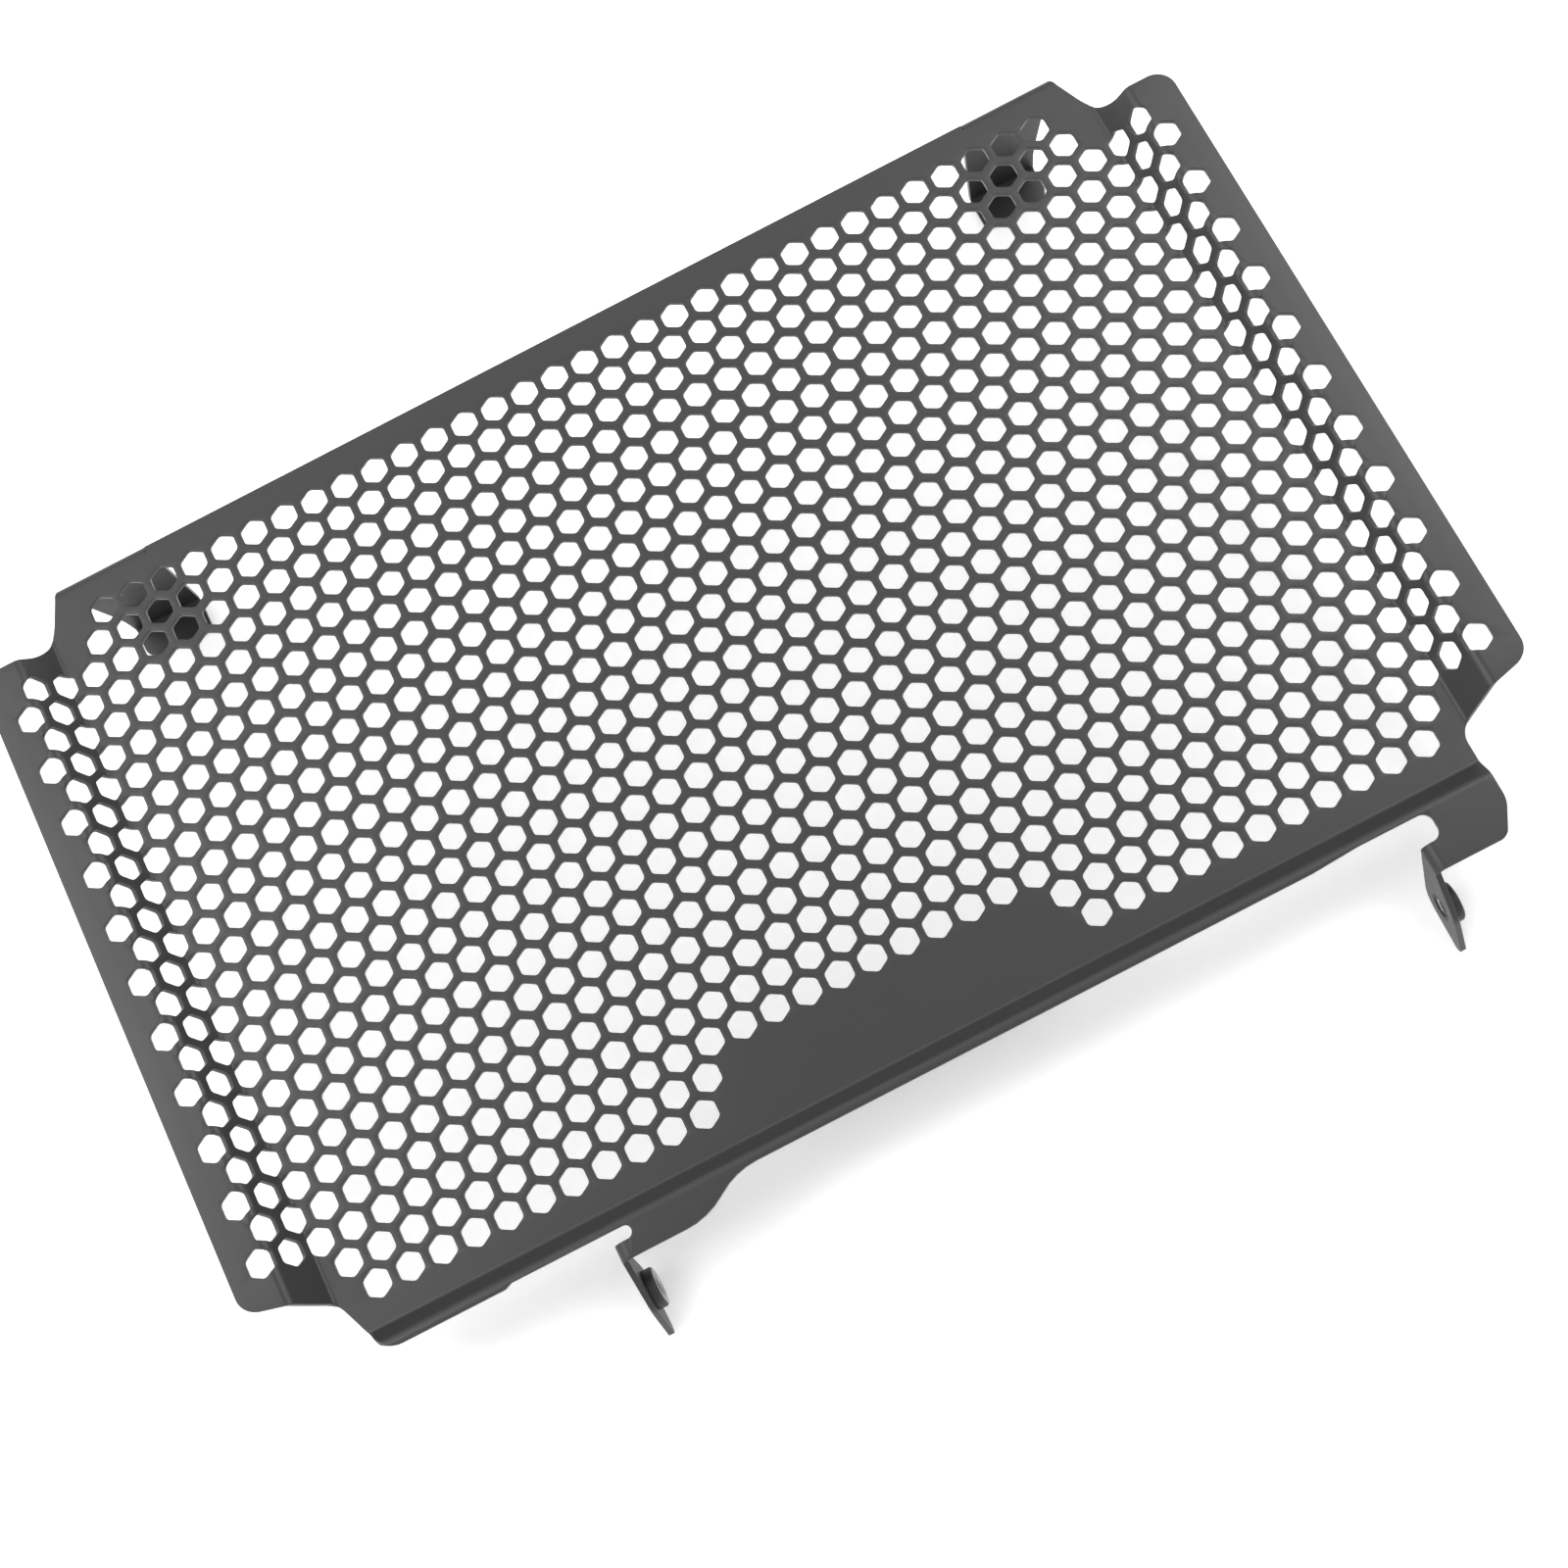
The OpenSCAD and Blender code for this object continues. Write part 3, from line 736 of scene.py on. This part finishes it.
COAT = (0.0185, 0.0187, 0.0195, 1)
# Lighter grey for the cut walls: partly thinner coat, partly a painted highlight on the hole rims.
THIN_COAT_AND_RIM_HIGHLIGHT = (0.034, 0.034, 0.035, 1)
DUST = (0.075, 0.075, 0.075, 1)
OBJECT_PLACE, ATTRIBUTE_VALUE, MIXED_COLOUR = 3, 2, 2
t = material_tree(powder)
place = t.add("ShaderNodeTexCoord", out=OBJECT_PLACE)
edge = t.add("ShaderNodeAttribute", {"attribute_name": "cut_edge"}, out=ATTRIBUTE_VALUE)
peel, grain, drift = noise(t, place, 950), noise(t, place, 4200), noise(t, place, 22, 3.0)
specks = noise(t, place, 2600, 1.0)
dust = t.add("ShaderNodeValToRGB", {"stops": [(0.70, (0, 0, 0, 1)), (0.78, (1, 1, 1, 1))]}, [specks])
# Mixes in the lighter cut-wall colour: thinner coat plus a painted highlight on the rims.
coat = mixed(t, edge * 0.8, COAT, THIN_COAT_AND_RIM_HIGHLIGHT)
dusty = mixed(t, dust * 0.35, coat, DUST)
wavy = t.add("ShaderNodeBump", None, {"Strength": 0.35, "Distance": 0.00003, "Height": peel + grain * 0.35})
satin = t.add("ShaderNodeBsdfPrincipled", None, {
    "Base Color": dusty, "Roughness": 0.35 + drift * 0.08 + grain * 0.05 - edge * 0.05,
    "Normal": wavy, "IOR": 1.5})
finish_surface(t, satin)
print("powder coat has", len(t.nodes), "nodes")

# %% [markdown]
# ## Nut steel
# The nuts are pressed in before the guard is coated, so their outside is black too. Only the
# end face and the thread are masked off: there the turned steel stays bare. Turning leaves rings
# round the axis, so the finish follows the radius stored on each point rather than the place.

# %% Nut steel
COATED_STEEL = (0.02, 0.02, 0.021, 1)
DARK_STEEL, LIGHT_STEEL = (0.30, 0.30, 0.30, 1), (0.42, 0.42, 0.41, 1)
t = material_tree(steel)
place = t.add("ShaderNodeTexCoord", out=OBJECT_PLACE)
radius = t.add("ShaderNodeAttribute", {"attribute_name": "lathe_radius"}, out=ATTRIBUTE_VALUE)
bare = t.add("ShaderNodeAttribute", {"attribute_name": "bare_metal"}, out=ATTRIBUTE_VALUE)
along = t.add("ShaderNodeCombineXYZ", None, {"X": radius})
rings = noise(t, along, 9, 3.0)
cloud = noise(t, place, 420)
tone = mixed(t, cloud, DARK_STEEL, LIGHT_STEEL)
finish = mixed(t, bare, COATED_STEEL, tone)
turned_rings = t.add("ShaderNodeBump", None, {"Strength": 0.3, "Distance": 0.00004, "Height": rings})
bright = t.add("ShaderNodeBsdfPrincipled", None, {
    "Base Color": finish, "Metallic": bare, "Roughness": 0.48 - bare * 0.2 + rings * 0.14,
    "Normal": turned_rings})
finish_surface(t, bright)
print("nut steel has", len(t.nodes), "nodes")

# %% [markdown]
# ## Floor
# A plain white floor, large enough to fill the picture, so nothing competes with the guard. A
# little glow of its own keeps the shadows pale, as in a studio shot on white.

# %% Floor
paper = bpy.data.materials.new("white_paper")
t = material_tree(paper)
paper_shade = t.add("ShaderNodeBsdfPrincipled", None, {
    "Base Color": (0.93, 0.93, 0.93, 1), "Roughness": 0.9,
    "Emission Color": (1, 1, 1, 1), "Emission Strength": 0.27})
finish_surface(t, paper_shade)
floor_mesh = bpy.data.meshes.new("floor")
reach = 3.0
corners = [(-reach, -reach, 0), (reach, -reach, 0), (reach, reach, 0), (-reach, reach, 0)]
floor_mesh.from_pydata(corners, [], [(0, 1, 2, 3)])
floor_mesh.materials.append(paper)
floor = bpy.data.objects.new("floor", floor_mesh)
bpy.context.scene.collection.objects.link(floor)
floor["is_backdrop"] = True
print("floor is", 2 * reach, "m wide")

# %% [markdown]
# ## Light
# A black coat shows what it mirrors more than its own colour. So the surround is a soft sky,
# brightest to the left, then to the right and overhead, and the coat reads as grey rather than
# pitch black. Four square lights draw the flanges, rims and folds: one high on the left, one
# high on the right, one behind and a weak one in front.

# %% Surround and lights
LEFT, RIGHT, FAR, ABOVE, ALL_ROUND = 1.35, 0.75, 0.45, 0.66, 0.02
FALL_FROM_ABOVE = 1.4
world = bpy.data.worlds.new("studio")
bpy.context.scene.world = world
world.use_nodes = True
world.node_tree.nodes.clear()
t = Tree(world.node_tree)
sky = t.add("ShaderNodeTexCoord", out=0)
split = t.add("ShaderNodeSeparateXYZ", None, {0: sky})
x, y, z = (Wire(t, split.socket.node.outputs[axis]) for axis in "XYZ")
sides = (x * -LEFT).math("MAXIMUM", x * RIGHT)
overhead = z.math("MAXIMUM", 0).math("POWER", FALL_FROM_ABOVE) * ABOVE
glow = ALL_ROUND + sides + (y * FAR).math("MAXIMUM", 0) + overhead
surround = t.add("ShaderNodeBackground", None, {"Color": (1, 1, 1, 1), "Strength": glow})
t.add("ShaderNodeOutputWorld", None, {"Surface": surround})


GUARD_MIDDLE = (0, 0, 0.02)


def soft_light(name, place, size_m, power):
    data = bpy.data.lights.new(name, "AREA")
    data.shape, data.size, data.energy = "SQUARE", size_m, power
    lamp = bpy.data.objects.new(name, data)
    lamp.location = place
    lamp.rotation_euler = (Vector(GUARD_MIDDLE) - Vector(place)).to_track_quat("-Z", "Y").to_euler()
    bpy.context.scene.collection.objects.link(lamp)


soft_light("left_box", (-0.55, 0.2, 0.8), 0.45, 3.0)
soft_light("right_box", (0.55, 0.2, 0.8), 0.45, 3.2)
soft_light("far_box", (0, 0.75, 0.8), 0.5, 1.0)
soft_light("near_box", (0.1, -1.2, 0.5), 0.7, 0.8)
print("four soft lights")

# %% [markdown]
# ## Camera
# The photograph looks steeply down at the guard, with the camera rolled, so the guard stands
# on a corner in the picture. The place, in millimetres, and the axes were worked out in the
# guard's own frame, from where its corners and rows of holes fall in the picture. Both lean with
# the guard as it lies.

# %% Camera
eye = Vector((1.011, -210.180, 603.374))
right = Vector((0.8888079, -0.4399620, -0.1282728))
up = Vector((0.4582784, 0.8539856, 0.2463524))
ahead = Vector((-0.0011574, 0.2777446, -0.9606542))
axes = Matrix((right, up, -ahead)).transposed().to_4x4()
lens = bpy.data.cameras.new("camera")
lens.sensor_width, lens.lens = 36, 57.22
lens.clip_start, lens.clip_end = 0.01, 50
camera = bpy.data.objects.new("camera", lens)
camera.matrix_world = Matrix.Translation(to_scene @ eye) @ (rest.to_3x3() @ axes.to_3x3()).to_4x4()
bpy.context.scene.collection.objects.link(camera)
bpy.context.scene.camera = camera
bpy.context.scene.view_settings.view_transform = "Standard"
print("camera at", tuple(round(v, 4) for v in camera.location))

# %% [markdown]
# ## Boxes
# The looks must not make the guard bigger than its CAD model, so both boxes are printed.

# %% Boxes
def plain(box):
    return [[float(v) for v in corner] for corner in box]


{"cad": plain(cad_box), "visual": plain(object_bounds())}
print("CAD", plain(cad_box), "visual", plain(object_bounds()))
